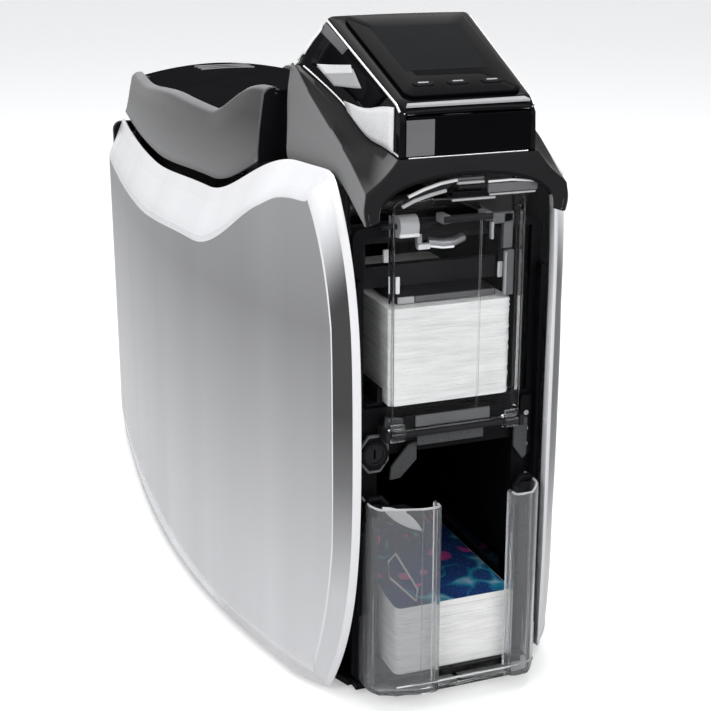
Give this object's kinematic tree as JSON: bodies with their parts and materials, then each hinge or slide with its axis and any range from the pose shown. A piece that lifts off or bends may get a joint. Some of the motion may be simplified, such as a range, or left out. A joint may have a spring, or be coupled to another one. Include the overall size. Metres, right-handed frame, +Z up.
{
  "type": "id card printer",
  "caption": "Desktop card printer: bowed silver side panels, clear door over the input stack, open output tray with clear fins, tilted control head, hinged ribbon lid.",
  "frame": {"origin": "centre of the footprint on the table", "axes": "+Z up, the front with the hoppers faces -Y, +X to the right seen from the front"},
  "size_m": [0.1584, 0.383, 0.2825],
  "materials": {
    "panel_silver": "brushed satin",
    "case_black": "matte black moulding",
    "hood_grey": "fine textured dark grey",
    "lid_grey": "satin dark grey",
    "head_gloss": "high gloss black",
    "screen": "unlit display",
    "clear": "clear moulding",
    "smoke": "smoky grey moulding",
    "steel": "rolled steel",
    "bracket": "pressed sheet",
    "rubber": "soft",
    "roller": "rubber covered",
    "gear": "acetal",
    "bronze": "sintered",
    "board": "solder masked",
    "motor": "zinc plated",
    "socket": "plain",
    "cartridge": "plain",
    "ribbon": "wound film",
    "head_ceramic": "ceramic and resin",
    "card_white": "satin card edges",
    "card_print": "printed and overlaid",
    "lamp": "light pipes"
  },
  "bodies": {
    "chassis": {"base_tray": "case_black", "left_side_panel": "panel_silver", "right_side_panel": "panel_silver", "rear_panel": "case_black", "front_bezel": "case_black", "left_frame_plate": "steel", "right_frame_plate": "steel", "frame_crossbars": "steel", "input_hopper_tray": "case_black", "output_tray": "smoke", "left_output_fin": "clear", "right_output_fin": "clear", "head_hood": "hood_grey", "head_shell": "head_gloss", "display_glass": "head_gloss", "lcd_panel": "screen", "lock_surround": "case_black", "status_strip": "head_gloss", "status_lamps": "lamp", "main_board": "board", "power_inlet": "socket", "usb_port": "steel", "network_port": "steel", "transport_motor": "motor", "motor_bracket": "steel", "cooling_fan": "case_black", "rubber_feet": "rubber", "chassis_screws": "steel", "bearing_bushes": "bronze", "ribbon_cartridge": "cartridge", "exit_chute": "case_black", "input_card_stack": "card_white", "output_card_stack": "card_white", "printed_card": "card_print", "hopper_guides": "case_black", "lid_hinge_pin": "steel", "door_hinge_pin": "steel"},
    "lid": {"ribbon_lid": "lid_grey", "printhead_bracket": "bracket", "printhead": "head_ceramic"},
    "door": {"hopper_door": "clear", "door_handle": "smoke"},
    "left_button": {"left_button": "head_gloss"},
    "middle_button": {"middle_button": "head_gloss"},
    "right_button": {"right_button": "head_gloss"},
    "power_button": {"power_button": "smoke"},
    "lock_barrel": {"lock_barrel": "steel"},
    "pressure_plate": {"pressure_plate": "case_black"},
    "pick_roller": {"pick_roller": "roller"},
    "front_idler": {"front_idler": "gear"},
    "feed_roller": {"feed_roller": "roller"},
    "rear_idler": {"rear_idler": "gear"},
    "platen_roller": {"platen_roller": "roller"},
    "exit_roller": {"exit_roller": "roller"},
    "motor_pinion": {"motor_pinion": "bronze"},
    "supply_spool": {"supply_spool": "ribbon"},
    "takeup_spool": {"takeup_spool": "ribbon"},
    "fan_rotor": {"fan_rotor": "case_black"}
  },
  "joints": [
    {"name": "lid_hinge", "type": "hinge", "parent": "chassis", "child": "lid", "pos_m": [0, 0.1755, 0.204], "axis": [-1, 0, 0], "range_deg": [0, 70]},
    {"name": "door_hinge", "type": "hinge", "parent": "chassis", "child": "door", "pos_m": [0, -0.1775, 0.12], "axis": [1, 0, 0], "range_deg": [0, 80]},
    {"name": "left_button_press", "type": "slide", "parent": "chassis", "child": "left_button", "axis": [0, 0.3665, -0.9304], "range_m": [0, 0.0005], "stiffness_N_per_m": 300},
    {"name": "middle_button_press", "type": "slide", "parent": "chassis", "child": "middle_button", "axis": [0, 0.3665, -0.9304], "range_m": [0, 0.0005], "stiffness_N_per_m": 300},
    {"name": "right_button_press", "type": "slide", "parent": "chassis", "child": "right_button", "axis": [0, 0.3665, -0.9304], "range_m": [0, 0.0005], "stiffness_N_per_m": 300},
    {"name": "power_button_press", "type": "slide", "parent": "chassis", "child": "power_button", "axis": [0, -1, 0], "range_m": [0, 0.0015], "stiffness_N_per_m": 300},
    {"name": "lock_turn", "type": "hinge", "parent": "chassis", "child": "lock_barrel", "pos_m": [-0.0332, -0.1695, 0.111], "axis": [0, -1, 0], "range_deg": [0, 90]},
    {"name": "pressure_plate_lift", "type": "slide", "parent": "chassis", "child": "pressure_plate", "axis": [0, 0, 1], "range_m": [0, 0.012]},
    {"name": "platen_spin", "type": "hinge", "parent": "chassis", "child": "platen_roller", "pos_m": [0, 0.0177, 0.1227], "axis": [1, 0, 0], "continuous": true},
    {"name": "feed_spin", "type": "hinge", "parent": "chassis", "child": "feed_roller", "pos_m": [0, -0.0426, 0.1227], "axis": [1, 0, 0], "continuous": true},
    {"name": "pick_spin", "type": "hinge", "parent": "chassis", "child": "pick_roller", "pos_m": [0, -0.1029, 0.1227], "axis": [1, 0, 0], "continuous": true},
    {"name": "front_idler_spin", "type": "hinge", "parent": "chassis", "child": "front_idler", "pos_m": [0, -0.07275, 0.1227], "axis": [1, 0, 0], "continuous": true},
    {"name": "rear_idler_spin", "type": "hinge", "parent": "chassis", "child": "rear_idler", "pos_m": [0, -0.01245, 0.1227], "axis": [1, 0, 0], "continuous": true},
    {"name": "exit_spin", "type": "hinge", "parent": "chassis", "child": "exit_roller", "pos_m": [0, -0.09064, 0.09516], "axis": [1, 0, 0], "continuous": true},
    {"name": "pinion_spin", "type": "hinge", "parent": "chassis", "child": "motor_pinion", "pos_m": [0, 0.0177, 0.10155], "axis": [1, 0, 0], "continuous": true},
    {"name": "supply_spin", "type": "hinge", "parent": "chassis", "child": "supply_spool", "pos_m": [0, 0.0537, 0.1717], "axis": [1, 0, 0], "continuous": true},
    {"name": "takeup_spin", "type": "hinge", "parent": "chassis", "child": "takeup_spool", "pos_m": [0, -0.0323, 0.1717], "axis": [1, 0, 0], "continuous": true},
    {"name": "fan_spin", "type": "hinge", "parent": "chassis", "child": "fan_rotor", "pos_m": [0.024, 0.18, 0.13], "axis": [0, 1, 0], "continuous": true}
  ],
  "couplings": [
    {"joint": "feed_spin", "follows": "platen_spin", "ratio": 1},
    {"joint": "pick_spin", "follows": "platen_spin", "ratio": 1},
    {"joint": "front_idler_spin", "follows": "platen_spin", "ratio": -1},
    {"joint": "rear_idler_spin", "follows": "platen_spin", "ratio": -1},
    {"joint": "exit_spin", "follows": "platen_spin", "ratio": -1},
    {"joint": "pinion_spin", "follows": "platen_spin", "ratio": -2.5},
    {"joint": "takeup_spin", "follows": "supply_spin", "ratio": 1.5556}
  ]
}
